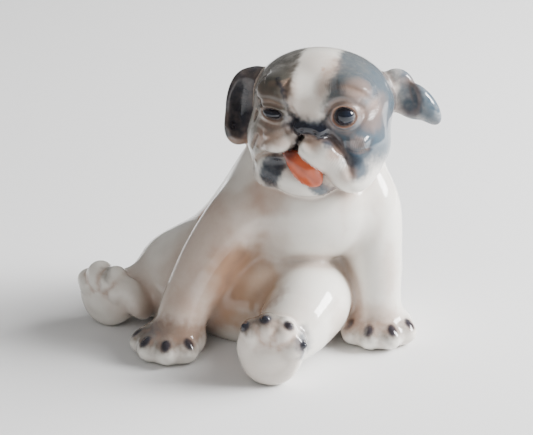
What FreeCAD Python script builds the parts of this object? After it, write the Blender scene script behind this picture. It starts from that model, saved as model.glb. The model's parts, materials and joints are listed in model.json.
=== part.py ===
"""A seated porcelain puppy, built as the castings that a pottery lutes together.

The figure is slip-cast in pieces: a hollow torso with both haunches, a hollow head,
two ears, two forelegs, two hind legs (shank and foot), a tail and a tongue.  Each
piece is a solid of its own and meets its neighbour face to face at the luted joint.
The puppy faces -Y, its own left is +X, and it rests on Z = 0.  Millimetres.
"""
import FreeCAD, Part, Sketcher
import math
import os

from FreeCAD import Placement, Rotation, Vector

doc = FreeCAD.newDocument("seated_puppy")
sheet = doc.addObject("Spreadsheet::Sheet", "dims")
next_row = 1

# ---------------------------------------------------------------- driving sizes
# One value per cell; each alias is what the expressions below refer to.
DRIVING = {
    # the whole figure
    "middle_x": -0.3,        # where the middle of the outline lies, seen from above
    "middle_y": -0.69,
    "wall": 3.2,             # thickness of the hollow castings
    "vent_radius": 1.5,      # hole underneath that lets the kiln gases out
    "neck_radius": 1.5,      # pin hole between the two hollow castings
    "neck_length": 20.0,
    # where the head sits and how it is turned
    "head_x": 15.2, "head_y": -2.0, "head_z": 54.6,
    "head_yaw": -14.0, "head_roll": 4.0, "head_pitch": -4.0,
    # tongue: a flat leaf that hangs out of the open mouth
    "tongue_length": 12.6, "tongue_width": 6.4, "tongue_thick": 2.6, "tongue_edge": 0.9,
    "tongue_x": -0.9, "tongue_y": -12.9, "tongue_z": -9.6, "tongue_slope": -36.0,
    # tail: a short stump that curls round the rump
    "tail_radius": 2.8, "tail_curl": 5.0, "tail_sweep": 150.0,
    "tail_x": 9.0, "tail_y": 24.5, "tail_z": 5.4,
}

# Ellipsoids that make up the head, in the head's own frame: centre, then half sizes.
HEAD_FORMS = {
    "cranium": ((0.0, 1.5, 3.0), (16.0, 14.5, 11.4)),
    "right_cheek": ((-7.0, -3.0, -5.5), (9.0, 9.5, 9.3)),
    "left_cheek": ((7.5, -3.0, -5.5), (9.0, 9.5, 9.3)),
    "right_lip": ((-4.6, -9.6, -6.2), (5.6, 5.4, 5.6)),
    "left_lip": ((4.6, -9.6, -7.2), (6.2, 5.4, 6.8)),
    "chin": ((-1.5, -7.6, -12.6), (8.2, 6.0, 4.6)),
    "nose": ((0.0, -14.0, 0.0), (4.3, 2.2, 2.0)),
    "right_eye": ((-8.7, -10.6, 1.3), (2.4, 2.2, 1.8)),
    "left_eye": ((7.8, -11.2, 2.8), (2.6, 1.8, 2.6)),
}

# Ellipsoids whose insides, a wall smaller, make up the head's hollow.
HEAD_HOLLOWS = {
    "cranium": HEAD_FORMS["cranium"],
    "muzzle": ((0.3, -3.0, -4.6), (14.4, 9.6, 9.6)),
}

# Level sections of the torso: height, centre x, centre y, half width, half depth.
TORSO_SECTIONS = [
    (0.0, 0.0, 10.0, 19.0, 14.0),
    (5.0, -0.5, 10.0, 23.0, 18.0),
    (12.0, -0.5, 9.5, 23.5, 18.5),
    (20.0, 2.5, 8.0, 22.0, 17.5),
    (28.0, 7.0, 5.5, 19.5, 16.0),
    (36.0, 10.5, 3.0, 18.0, 14.0),
    (44.0, 12.5, 1.5, 15.5, 12.5),
    (50.0, 14.0, 0.5, 13.0, 11.0),
]

# Ellipsoids fused to the torso: centre, then half sizes.
TORSO_FORMS = {
    "chest": ((12.0, -2.0, 32.0), (17.5, 12.5, 13.0)),
    "belly": ((0.0, -1.0, 11.5), (15.0, 12.0, 13.0)),
    "right_haunch": ((-16.5, 9.0, 9.5), (12.5, 13.0, 11.3)),
    "left_haunch": ((20.0, 8.0, 11.0), (14.5, 14.0, 13.5)),
}

# Round sections along each leg: x, y, z, radius.  The last one lies in the paw.
LEGS = {
    "right_foreleg": [
        (2.5, -2.5, 37.0, 6.5), (-3.5, -6.0, 30.5, 7.4), (-10.0, -8.5, 22.0, 6.7),
        (-14.8, -10.5, 13.5, 5.9), (-17.2, -12.4, 6.5, 5.8), (-18.2, -13.2, 1.5, 5.6),
    ],
    "left_foreleg": [
        (24.0, 0.5, 39.5, 6.4), (26.2, -1.5, 31.0, 7.6), (27.6, -3.8, 20.0, 6.6),
        (28.2, -5.0, 11.0, 5.9), (28.6, -6.0, 5.5, 6.0), (28.8, -6.5, 1.5, 5.8),
    ],
    "left_hind_leg": [
        (14.5, -4.0, 11.2, 8.8), (12.2, -11.0, 11.2, 9.4), (9.2, -18.5, 9.8, 8.4),
        (6.0, -24.5, 8.4, 6.7), (4.6, -27.5, 7.8, 5.8),
    ],
    "right_hind_leg": [
        (-16.0, 7.0, 8.2, 7.0), (-23.5, 6.2, 7.6, 6.8), (-30.0, 4.8, 7.2, 5.8),
        (-33.5, 3.8, 7.2, 5.0),
    ],
}
ALONG = {"right_foreleg": (1, 0, 0), "left_foreleg": (1, 0, 0),
         "left_hind_leg": (0, 0, 1), "right_hind_leg": (0, 0, 1)}

# Paws: centre, half sizes in the paw's own frame, the direction that the toes point in
# seen from above, how far the paw is tipped up, toe radius and the spread of the toes.
# A flat paw's frame is the figure's.  A tipped one's is up, across and along its heading.
PAWS = {
    "right_foreleg": ((-19.3, -13.5, 3.2), (7.9, 7.5, 4.6), 244.0, 0.0, 2.9, 114.0),
    "left_foreleg": ((28.8, -5.2, 3.4), (8.4, 7.8, 5.0), 271.0, 0.0, 3.0, 112.0),
    "left_hind_leg": ((3.5, -29.0, 8.2), (8.2, 7.6, 4.6), 262.0, 90.0, 2.8, 128.0),
    "right_hind_leg": ((-35.4, 2.4, 8.0), (8.0, 8.4, 5.0), 236.0, 90.0, 2.8, 130.0),
}
TOES = 4

# Ears: sections down the flap: x, y, z, half width, half thickness.
EARS = {
    "right_ear": [
        (0.4, 3.8, 62.8, 2.6, 1.6), (-1.2, 3.4, 60.4, 4.8, 2.2), (-2.6, 2.8, 56.6, 5.4, 2.2),
        (-3.2, 2.2, 52.0, 4.9, 2.1), (-3.5, 1.8, 48.5, 4.0, 1.9), (-3.6, 1.6, 46.2, 2.4, 1.5),
    ],
    "left_ear": [
        (26.0, 1.0, 57.8, 4.2, 2.4), (30.4, 0.6, 58.8, 5.2, 2.4), (34.6, -0.2, 57.8, 5.6, 2.3),
        (38.2, -1.2, 55.8, 5.2, 2.1), (40.4, -2.2, 53.2, 3.4, 1.6),
    ],
}


def cell(alias, value):
    """Keeps one value in the sheet under an alias."""
    global next_row
    sheet.set(f"A{next_row}", alias)
    sheet.set(f"B{next_row}", f"{value:g}")
    sheet.setAlias(f"B{next_row}", alias)
    next_row += 1


def keep(prefix, names, values):
    """Keeps a row of values as cells named prefix_name."""
    for name, value in zip(names, values):
        cell(f"{prefix}_{name}", value)


CENTRE = ("x", "y", "z")
HALF = ("half_x", "half_y", "half_z")
SECTION = ("x", "y", "z", "radius")
FLAP = ("x", "y", "z", "half_width", "half_thick")
LEVEL = ("z", "x", "y", "half_x", "half_y")

for alias, value in DRIVING.items():
    cell(alias, value)
for part_forms in (HEAD_FORMS | HEAD_HOLLOWS, TORSO_FORMS):
    for form, (centre, half) in part_forms.items():
        keep(form, CENTRE + HALF, centre + half)
for number, section in enumerate(TORSO_SECTIONS):
    keep(f"torso_{number}", LEVEL, section)
for leg, sections in LEGS.items():
    for number, section in enumerate(sections):
        keep(f"{leg}_{number}", SECTION, section)
for leg, (centre, half, heading, tip, toe, spread) in PAWS.items():
    keep(f"{leg}_paw", CENTRE + HALF, centre + half)
    keep(f"{leg}_toes", ("heading", "tip", "size", "spread"), (heading, tip, toe, spread))
for ear, sections in EARS.items():
    for number, section in enumerate(sections):
        keep(f"{ear}_{number}", FLAP, section)
doc.recompute()


def value(alias):
    return float(sheet.get(alias))


def bind(item, **cells):
    """Binds properties to cells; two underscores in a name stand for a dot."""
    for name, formula in cells.items():
        item.setExpression(name.replace("__", "."), formula)
    return item


def at(item, prefix):
    """Binds the item's place to the cells prefix_x, prefix_y and prefix_z."""
    return bind(
        item,
        Placement__Base__x=f"dims.{prefix}_x",
        Placement__Base__y=f"dims.{prefix}_y",
        Placement__Base__z=f"dims.{prefix}_z",
    )


def ellipsoid(prefix, shrink=""):
    """An ellipsoid from its cells, or one smaller all round by a formula."""
    item = doc.addObject("Part::Ellipsoid", prefix + ("_void" if shrink else "_form"))
    item.Angle1, item.Angle2, item.Angle3 = -90, 90, 360
    bind(
        item,
        Radius1=f"dims.{prefix}_half_z{shrink}",
        Radius2=f"dims.{prefix}_half_x{shrink}",
        Radius3=f"dims.{prefix}_half_y{shrink}",
    )
    return at(item, prefix)


def loft(name, sections):
    item = doc.addObject("Part::Loft", name)
    item.Sections = sections
    item.Solid = True
    item.Ruled = False
    return item


def fuse(name, shapes):
    item = doc.addObject("Part::MultiFuse", name)
    item.Shapes = shapes
    item.Refine = False
    return item


def cut(name, base, tools):
    """Takes several tools away from base, one after another."""
    for number, tool in enumerate(tools):
        item = doc.addObject("Part::Cut", f"{name}_cut_{number}")
        item.Base, item.Tool = base, tool
        base = item
    return base


def facing(direction, across):
    """A rotation whose Z runs along direction, with its X as near across as it can be."""
    return Rotation(Vector(across), Vector(), Vector(direction), "ZXY")


def tangents(points):
    """The direction of a bent axis at each of its points."""
    last = len(points) - 1
    return [points[min(i + 1, last)] - points[max(i - 1, 0)] for i in range(last + 1)]


def cell_point(prefix):
    return Vector(*(value(f"{prefix}_{axis}") for axis in CENTRE))


# ------------------------------------------------------------------- common tools
FLOOR_SPAN = 200.0
below_ground = doc.addObject("Part::Box", "below_ground")
below_ground.Length = below_ground.Width = FLOOR_SPAN
below_ground.Height = FLOOR_SPAN / 4
below_ground.Placement.Base = Vector(-FLOOR_SPAN / 2, -FLOOR_SPAN / 2, -FLOOR_SPAN / 4)

head_turn = (
    Rotation(Vector(0, 0, 1), value("head_yaw"))
    * Rotation(Vector(0, 1, 0), value("head_roll"))
    * Rotation(Vector(1, 0, 0), value("head_pitch"))
)
head_frame = Placement(cell_point("head"), head_turn)


# ---------------------------------------------------------------------------- head
def head_outside():
    """Skull, cheeks, lips, chin, nose and eyes as one form, turned into place."""
    outer = fuse("head_outside", [ellipsoid(form) for form in HEAD_FORMS])
    outer.Placement = head_frame
    return outer


def head_void():
    """The drained inside of the head: plain forms, smaller than the outside by the wall."""
    inner = fuse("head_inside", [ellipsoid(form, " - dims.wall") for form in HEAD_HOLLOWS])
    inner.Placement = head_frame
    return inner


# --------------------------------------------------------------------------- torso
def torso_level(number, shrink=""):
    item = doc.addObject("Part::Ellipse", f"level_{number}" + ("_void" if shrink else ""))
    prefix = f"torso_{number}"
    wide = value(f"{prefix}_half_x") >= value(f"{prefix}_half_y")
    major, minor = ("half_x", "half_y") if wide else ("half_y", "half_x")
    bind(
        item,
        MajorRadius=f"dims.{prefix}_{major}{shrink}",
        MinorRadius=f"dims.{prefix}_{minor}{shrink}",
    )
    if not wide:
        item.Placement.Rotation = Rotation(Vector(0, 0, 1), 90)
    return at(item, prefix)


def torso_outside():
    """The body of the pup, with its chest, belly and haunches, flat underneath."""
    levels = [torso_level(number) for number in range(len(TORSO_SECTIONS))]
    trunk = loft("trunk", levels)
    whole = fuse("torso_forms", [trunk] + [ellipsoid(form) for form in TORSO_FORMS])
    return cut("torso_grounded", whole, [below_ground])


def torso_void():
    """The drained inside of the trunk, up to the neck."""
    levels = [torso_level(number, " - 1.3 * dims.wall") for number in range(1, 7)]
    return loft("torso_inside", levels)


def passage():
    """The way from the torso's hollow up into the head's."""
    item = doc.addObject("Part::Cylinder", "neck_passage")
    bind(item, Radius="dims.neck_radius", Height="dims.neck_length")
    bind(
        item,
        Placement__Base__x="dims.torso_6_x",
        Placement__Base__y="dims.torso_6_y",
        Placement__Base__z="dims.torso_5_z",
    )
    return item


def vent():
    """The hole in the underside, straight up into the torso's hollow."""
    item = doc.addObject("Part::Cylinder", "vent_hole")
    bind(item, Radius="dims.vent_radius", Height="dims.torso_2_z")
    bind(
        item,
        Placement__Base__x="dims.torso_0_x",
        Placement__Base__y="dims.torso_0_y",
        Placement__Base__z="-dims.vent_radius",
    )
    return item


# ---------------------------------------------------------------------------- legs
def leg_bar(leg):
    """A loft of round sections along the leg's bent axis."""
    points = [cell_point(f"{leg}_{i}") for i in range(len(LEGS[leg]))]
    rings = []
    for number, direction in enumerate(tangents(points)):
        ring = doc.addObject("Part::Circle", f"{leg}_ring_{number}")
        bind(ring, Radius=f"dims.{leg}_{number}_radius")
        ring.Placement.Rotation = facing(direction, ALONG[leg])
        rings.append(at(ring, f"{leg}_{number}"))
    return loft(f"{leg}_bar", rings)


def toe(leg, number):
    """One toe of the fan: flat on the ground, or round the rim of an upturned sole."""
    paw = f"{leg}_paw"
    spread = value(f"{leg}_toes_spread")
    turn = math.radians(spread * (number / (TOES - 1) - 0.5))
    heading = math.radians(value(f"{leg}_toes_heading"))
    half = [value(f"{paw}_{name}") for name in HALF]
    size = value(f"{leg}_toes_size")
    item = doc.addObject("Part::Sphere", f"{leg}_toe_{number}")
    bind(item, Radius=f"dims.{leg}_toes_size")
    centre = cell_point(paw)
    if value(f"{leg}_toes_tip") > 0:  # an upturned sole: the toes stand round its top
        side = Vector(-math.sin(heading), math.cos(heading), 0)
        out = side * (-math.sin(turn) * (half[1] - size * 0.75))
        item.Placement.Base = centre + out + Vector(0, 0, math.cos(turn) * (half[0] - size * 0.75))
    else:
        reach = half[0] - size * 0.62
        around = heading + turn
        across = Vector(math.cos(around), math.sin(around), 0) * reach
        item.Placement.Base = Vector(centre.x, centre.y, size * 0.92) + across
    return item


def leg_casting(leg):
    """The leg with its paw and toes, cut where it is luted to the torso."""
    paw = ellipsoid(f"{leg}_paw")
    if value(f"{leg}_toes_tip") > 0:  # an upturned foot lies on its heel, sole outwards
        heading = math.radians(value(f"{leg}_toes_heading"))
        paw.Placement.Rotation = facing((math.cos(heading), math.sin(heading), 0), (0, 0, 1))
    forms = [leg_bar(leg), paw] + [toe(leg, number) for number in range(TOES)]
    return cut(leg, fuse(f"{leg}_forms", forms), [below_ground, torso_form, head_form])


# ---------------------------------------------------------------------------- ears
def ear_flap(ear, across):
    """A pressed flap: flat oval sections down its middle line."""
    points = [cell_point(f"{ear}_{i}") for i in range(len(EARS[ear]))]
    ovals = []
    for number, direction in enumerate(tangents(points)):
        oval = doc.addObject("Part::Ellipse", f"{ear}_oval_{number}")
        prefix = f"{ear}_{number}"
        bind(
            oval,
            MajorRadius=f"dims.{prefix}_half_width",
            MinorRadius=f"dims.{prefix}_half_thick",
        )
        oval.Placement.Rotation = facing(direction, across)
        ovals.append(at(oval, prefix))
    return cut(ear, loft(f"{ear}_flap", ovals), [head_form])


# ---------------------------------------------------------------------------- tail
def tail_stump():
    """A tapering stump that curls round the rump, along an arc on the level."""
    body = doc.addObject("PartDesign::Body", "tail_body")
    level = next(f for f in body.Origin.OriginFeatures if f.Role == "XY_Plane")
    upright = next(f for f in body.Origin.OriginFeatures if f.Role == "XZ_Plane")
    curl = value("tail_curl")

    arc = body.newObject("Sketcher::SketchObject", "tail_line")
    arc.AttachmentSupport = [(level, "")]
    arc.MapMode = "FlatFace"
    circle = Part.Circle(Vector(-curl, 0, 0), Vector(0, 0, 1), curl)
    arc.addGeometry(Part.ArcOfCircle(circle, 0, math.radians(value("tail_sweep"))), False)

    ring = body.newObject("Sketcher::SketchObject", "tail_ring")
    ring.AttachmentSupport = [(upright, "")]
    ring.MapMode = "FlatFace"
    ring.addGeometry(Part.Circle(Vector(0, 0, 0), Vector(0, 0, 1), 3), False)
    ring.addConstraint(Sketcher.Constraint("Coincident", 0, 3, -1, 1))
    ring.addConstraint(Sketcher.Constraint("Radius", 0, 3))
    ring.renameConstraint(1, "thickness")
    bind(ring, Constraints__thickness="dims.tail_radius")
    doc.recompute()

    pipe = body.newObject("PartDesign::AdditivePipe", "tail_pipe")
    pipe.Profile = ring
    pipe.Spine = (arc, ["Edge1"])
    doc.recompute()
    return at(body, "tail")


# -------------------------------------------------------------------------- tongue
def tongue_leaf():
    """A flat leaf with rounded rims, drawn in the head's frame and then turned."""
    body = doc.addObject("PartDesign::Body", "tongue_body")
    plane = next(f for f in body.Origin.OriginFeatures if f.Role == "XZ_Plane")

    outline = body.newObject("Sketcher::SketchObject", "tongue_outline")
    outline.AttachmentSupport = [(plane, "")]
    outline.MapMode = "FlatFace"
    half_length, half_width = value("tongue_length") / 2, value("tongue_width") / 2
    straight = half_length - half_width
    axis = Vector(0, 0, 1)
    ends = [
        Part.ArcOfCircle(Part.Circle(Vector(straight, 0, 0), axis, half_width), -math.pi / 2, math.pi / 2),
        Part.ArcOfCircle(Part.Circle(Vector(-straight, 0, 0), axis, half_width), math.pi / 2, 1.5 * math.pi),
    ]
    sides = [
        Part.LineSegment(Vector(-straight, half_width, 0), Vector(straight, half_width, 0)),
        Part.LineSegment(Vector(-straight, -half_width, 0), Vector(straight, -half_width, 0)),
    ]
    outline.addGeometry(ends + sides, False)
    for constraint in (
        ("Tangent", 0, 2, 2, 2), ("Tangent", 1, 1, 2, 1),
        ("Tangent", 0, 1, 3, 2), ("Tangent", 1, 2, 3, 1),
        ("Equal", 0, 1), ("Horizontal", 2), ("Symmetric", 0, 3, 1, 3, -1, 1),
    ):
        outline.addConstraint(Sketcher.Constraint(*constraint))
    width = outline.addConstraint(Sketcher.Constraint("Radius", 0, half_width))
    length = outline.addConstraint(Sketcher.Constraint("DistanceX", 1, 3, 0, 3, 2 * straight))
    outline.renameConstraint(width, "half_width")
    outline.renameConstraint(length, "straight")
    bind(
        outline,
        Constraints__half_width="dims.tongue_width / 2",
        Constraints__straight="dims.tongue_length - dims.tongue_width",
    )
    doc.recompute()

    pad = body.newObject("PartDesign::Pad", "tongue_pad")
    pad.Profile = outline
    pad.SideType = "Symmetric"
    bind(pad, Length="dims.tongue_thick")
    doc.recompute()

    rim = body.newObject("PartDesign::Fillet", "tongue_rim")
    rim.Base = (pad, [f"Edge{i + 1}" for i in range(len(pad.Shape.Edges))])
    rim.UseAllEdges = True
    bind(rim, Radius="dims.tongue_edge")
    doc.recompute()
    slope = Rotation(Vector(0, 1, 0), -value("tongue_slope"))
    body.Placement = head_frame * Placement(cell_point("tongue"), slope)
    return body


# ------------------------------------------------------------------------- castings
head_form = head_outside()
tongue = tongue_leaf()
neck = passage()
head = cut("head", head_form, [head_void(), neck, tongue])
torso_form = torso_outside()
torso = cut("torso", torso_form, [head_form, torso_void(), neck, vent()])
doc.recompute()

castings = {
    "torso": torso,
    "head": head,
    "right_ear": ear_flap("right_ear", (1, 0.55, 0)),
    "left_ear": ear_flap("left_ear", (0, -0.3, 1)),
    "right_foreleg": leg_casting("right_foreleg"),
    "left_foreleg": leg_casting("left_foreleg"),
    "right_hind_leg": leg_casting("right_hind_leg"),
    "left_hind_leg": leg_casting("left_hind_leg"),
    "tail": cut("tail", tail_stump(), [torso_form]),
    "tongue": tongue,
}
doc.recompute()

failed = [item.Name for item in doc.Objects if {"Invalid", "Error"} & set(item.State)]
if failed:
    raise SystemExit(f"these objects failed: {failed}")

to_middle = Placement(Vector(-value("middle_x"), -value("middle_y"), 0), Rotation())
os.makedirs("parts", exist_ok=True)
for name, casting in castings.items():
    finished = doc.addObject("Part::Feature", f"{name}_casting")
    finished.Label = name
    finished.Shape = max(casting.Shape.Solids, key=lambda solid: solid.Volume)
    finished.Placement = to_middle * finished.Placement
    if finished.Shape.isNull() or not finished.Shape.isValid():
        raise SystemExit(f"{name} has no valid shape")
    finished.Shape.exportStep(f"parts/{name}.step")
    print(name, "volume", round(finished.Shape.Volume, 1))
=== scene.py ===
"""The glazed look of the seated porcelain puppy, modelled round its packed castings.

The whole figure is one smooth field of clay, in millimetres: each casting is a group of
rounded forms that flow into their neighbours.  A casting's visible piece is the part of
the skin where its own group lies nearest, and it dives under its neighbour's skin at the
luted joint, so that the glaze runs across without a step.
"""
import json
import math
from collections import namedtuple
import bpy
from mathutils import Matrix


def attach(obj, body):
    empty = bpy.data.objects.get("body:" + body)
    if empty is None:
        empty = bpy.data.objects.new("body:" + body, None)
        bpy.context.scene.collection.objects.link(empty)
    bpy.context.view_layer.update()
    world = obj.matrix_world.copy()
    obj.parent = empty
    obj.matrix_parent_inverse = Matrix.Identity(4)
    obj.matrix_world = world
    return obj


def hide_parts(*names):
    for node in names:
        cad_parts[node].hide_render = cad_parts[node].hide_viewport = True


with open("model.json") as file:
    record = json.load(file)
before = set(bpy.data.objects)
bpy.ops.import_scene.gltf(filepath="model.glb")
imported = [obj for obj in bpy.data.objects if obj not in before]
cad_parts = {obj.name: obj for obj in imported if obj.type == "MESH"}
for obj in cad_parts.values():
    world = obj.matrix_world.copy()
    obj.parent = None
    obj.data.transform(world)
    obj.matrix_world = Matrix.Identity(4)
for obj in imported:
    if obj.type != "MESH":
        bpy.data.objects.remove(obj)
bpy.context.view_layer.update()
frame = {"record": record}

from concurrent.futures import ThreadPoolExecutor
from itertools import product

import bpy
import numpy as np
from mathutils import Vector

MM = 0.001
MIDDLE = np.array((-0.3, -0.69, 0.0))  # the frame's origin, in the sculpture's millimetres
FAR = 40.0  # a distance that no blend reaches
THREADS = 4


# ------------------------------------------------------------------ fields of clay
def turned(about_x, about_y, about_z):
    """The matrix of a turn about X, then Y, then Z, in degrees."""
    a, b, c = (math.radians(angle) for angle in (about_x, about_y, about_z))
    x = np.array([[1, 0, 0], [0, math.cos(a), -math.sin(a)], [0, math.sin(a), math.cos(a)]])
    y = np.array([[math.cos(b), 0, math.sin(b)], [0, 1, 0], [-math.sin(b), 0, math.cos(b)]])
    z = np.array([[math.cos(c), -math.sin(c), 0], [math.sin(c), math.cos(c), 0], [0, 0, 1]])
    return (z @ y @ x).astype(np.float32)


def vector(values):
    return np.asarray(values, np.float32)


def length(p):
    return np.sqrt(np.einsum("ij,ij->i", p, p))


def ellipsoid(p, centre, radii, turn=None):
    q = p - vector(centre)
    if turn is not None:
        q = q @ turn
    r = vector(radii)
    near = length(q / r)
    return near * (near - 1.0) / np.maximum(length(q / (r * r)), 1e-6)


def join(a, b, blend):
    """The smaller of two fields, with a fillet."""
    h = np.clip(0.5 + 0.5 * (b - a) / blend, 0.0, 1.0)
    return b + (a - b) * h - blend * h * (1.0 - h)


def carve(a, b, blend):
    """Field a with b taken away, the edge rounded over."""
    return -join(-a, b, blend)


def spline(points, steps):
    """A Catmull-Rom line through rows of numbers, with several steps to each stretch."""
    rows = np.asarray(points, float)
    rows = np.vstack([2 * rows[0] - rows[1], rows, 2 * rows[-1] - rows[-2]])
    out = []
    for i in range(1, len(rows) - 2):
        a, b, c, d = rows[i - 1:i + 3]
        for t in np.arange(steps) / steps:
            out.append(0.5 * (2 * b + (c - a) * t + (2 * a - 5 * b + 4 * c - d) * t ** 2
                              + (3 * b - a - 3 * c + d) * t ** 3))
    out.append(rows[-2])
    return np.array(out, np.float32)


def nearest_run(p, line):
    """Distance to a bent line, and how many runs along it the nearest place lies."""
    best = np.full(len(p), FAR, np.float32)
    place = np.zeros(len(p), np.float32)
    for number, (start, end) in enumerate(zip(line[:-1], line[1:])):
        along = end - start
        q = p - start
        t = np.clip(q @ along / (along @ along), 0.0, 1.0)
        gap = length(q - t[:, None] * along)
        nearer = gap < best
        best = np.where(nearer, gap, best)
        place = np.where(nearer, number + t, place)
    return best, place


def on_spline(rows, place):
    """The row and its slope at a place along the Catmull-Rom line through padded rows."""
    first = np.clip(place.astype(int), 0, len(rows) - 4)
    t = (place - first)[:, None]
    a, b, c, d = (rows[first + i] for i in range(4))
    u, v, w = c - a, 2 * a - 5 * b + 4 * c - d, 3 * b - a - 3 * c + d
    return 0.5 * (2 * b + u * t + v * t * t + w * t ** 3), 0.5 * (u + 2 * v * t + 3 * w * t * t)


def limb(p, stations, steps=3):
    """A round bar along a smooth line: each station is x, y, z, radius."""
    rows = vector(stations)
    rows = np.vstack([2 * rows[0] - rows[1], rows, 2 * rows[-1] - rows[-2]])
    place = nearest_run(p, spline(stations, steps)[:, :3])[1] / steps
    for _ in range(2):
        at, slope = on_spline(rows, place)
        way = slope[:, :3]
        step = np.einsum("ij,ij->i", p - at[:, :3], way) / np.einsum("ij,ij->i", way, way)
        place = np.clip(place + step, 0.0, len(stations) - 1.0).astype(np.float32)
    at = on_spline(rows, place)[0]
    return length(p - at[:, :3]) - at[:, 3]


def stroke(p, points, width, steps=3):
    """One along a smooth line, falling softly to nothing at its sides and its ends."""
    line = spline(points, steps)
    gap, place = nearest_run(p, line)
    along = place / (len(line) - 1)
    return bump(gap, width) * np.sqrt(np.clip(5.0 * along * (1.0 - along), 0.0, 1.0))


def bump(distance, width):
    """One at a line or point, falling softly to nothing."""
    return np.exp(-(distance / width) ** 2)


# --------------------------------------------------------------------------- torso
TORSO_LEVELS = (  # z, centre x, centre y, half width, half depth
    (-6, 0.5, 10, 17, 12), (0, 0, 10, 20, 15.5), (5, -0.5, 10, 23, 18),
    (12, -0.5, 9.5, 23.5, 18.5), (20, 2.5, 8, 21.5, 17.5), (28, 7, 5.5, 19.2, 16),
    (36, 10.5, 3, 17.8, 14), (44, 12.7, 1.5, 15.4, 12.5), (50, 14, 0.5, 12.5, 11),
    (56, 14.8, 0, 9, 9),
)
VENT, VENT_RADIUS, VENT_DEPTH = (0.0, 10.0), 1.5, 4.0  # the kiln vent in the base


def torso(p):
    levels = spline(TORSO_LEVELS, 6)
    at = [np.interp(p[:, 2], levels[:, 0], levels[:, i]).astype(np.float32) for i in range(1, 5)]
    u, v = p[:, 0] - at[0], p[:, 1] - at[1]
    near = np.sqrt((u / at[2]) ** 2 + (v / at[3]) ** 2)
    slope = np.sqrt((u / at[2] ** 2) ** 2 + (v / at[3] ** 2) ** 2)
    d = 0.9 * near * (near - 1.0) / np.maximum(slope, 1e-6)
    d = np.maximum(d, p[:, 2] - 52.0)
    d = join(d, ellipsoid(p, (-16.5, 9.0, 9.5), (12.5, 13.0, 11.3)), 5.0)
    d = join(d, ellipsoid(p, (20.6, 8.5, 12.5), (14.8, 13.0, 13.5)), 5.0)
    d = join(d, ellipsoid(p, (0.0, -1.5, 10.5), (15.0, 12.5, 12.8)), 4.0)
    d = join(d, ellipsoid(p, (12.0, -2.0, 32.0), (17.5, 12.5, 13.0)), 1.6)
    bore = np.maximum(length(p[:, :2] - vector(VENT)) - VENT_RADIUS, p[:, 2] - VENT_DEPTH)
    return carve(d, bore, 0.3)


# ---------------------------------------------------------------------------- head
HEAD_CENTRE = (15.2, -2.0, 54.6)
HEAD_TURN = turned(-4.0, 4.0, -14.0)


def seen_by_head(p):
    """Points in the head's own frame: its middle at nought, its face towards -Y."""
    return (p - vector(HEAD_CENTRE)) @ HEAD_TURN


def on_face(q, points, width):
    """A stroke drawn on the front of the face: each point is x, z."""
    return stroke(q[:, ::2], points, width)


def ring(q, centre, radii):
    """How far outside an oval drawn on the front of the face, in millimetres."""
    u, v = (q[:, 0] - centre[0]) / radii[0], (q[:, 2] - centre[1]) / radii[1]
    return (np.sqrt(u * u + v * v) - 1.0) * min(radii)


RIGHT_EYE, RIGHT_EYE_SIZE = (-8.8, 1.4), (2.4, 1.25)
LEFT_EYE, LEFT_EYE_SIZE = (7.3, 3.3), (2.25, 2.15)
FACE_RIDGES = (  # line on the face, width, height
    (((-11.8, 3), (-10.8, 5), (-9, 6), (-6.8, 5.4), (-5.4, 3.2)), 1.7, 0.4),  # right brow
    (((-11.4, 8.6), (-8.6, 9.6), (-6.6, 8.6)), 1.1, 0.5),
    (((-12.6, -1.2), (-9.4, -1.9), (-6, -0.9), (-4.2, -0.2)), 0.8, 0.5),  # under the right eye
    (((-10.4, -3.6), (-7.6, -3.1), (-5, -1.9)), 0.8, 0.35),
    (((3, 4.8), (4.4, 7.2), (7.2, 8.2), (10.2, 7)), 1, 0.45),  # left lid fold
    (((5, 9.8), (8, 10.8), (11.4, 9.4), (13.4, 6.6)), 1.4, 0.4),
    (((7.4, -2.6), (9.6, -1.6), (11.8, -1.8), (12.8, -3.8)), 1, 0.6),  # left cheek pouch
)
FACE_FOLDS = (  # line on the face, width, depth
    (((-7, 9.4), (-5.8, 6.4), (-4.4, 3), (-2.6, 1)), 0.9, 0.55),  # beside the blaze
    (((-12.4, 4), (-10.4, 4.6), (-8.2, 4.2), (-6.4, 3.2)), 0.7, 0.2),  # over the right lid
    (((2.2, 1.2), (3.2, 3.4), (3.6, 5)), 0.7, 0.45),
    (((3.6, 8.4), (7.2, 9.6), (11, 8.3), (12.8, 5.6)), 0.7, 0.3),
    (((-13.4, 0.6), (-13.5, -1.8)), 0.4, 0.6),  # right cheek's creases
    (((-12, -4), (-13.4, -8)), 0.4, 0.6),
    (((-1.4, -1.6), (-2, -3.8), (-2.5, -6)), 0.55, 1),  # from the nose to the mouth
    (((-2.5, -6.2), (-5.2, -7.2), (-8.2, -7.6), (-10.8, -8.8), (-12.2, -10.8)), 0.6, 0.9),
    (((2.6, -1.2), (5.6, -2.6), (8.6, -5.8), (10.8, -10.4)), 0.8, 0.7),  # behind the left lip
    (((-3.4, -1.2), (-6.6, -2.8), (-10, -4.6), (-11.8, -7)), 0.7, 0.5),  # behind the right lip
    (((8.4, -1.2), (8.6, -3.4), (10.6, -4.4), (12.8, -3.8), (13.4, -1.4)), 0.5, 0.4),
)


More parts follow.
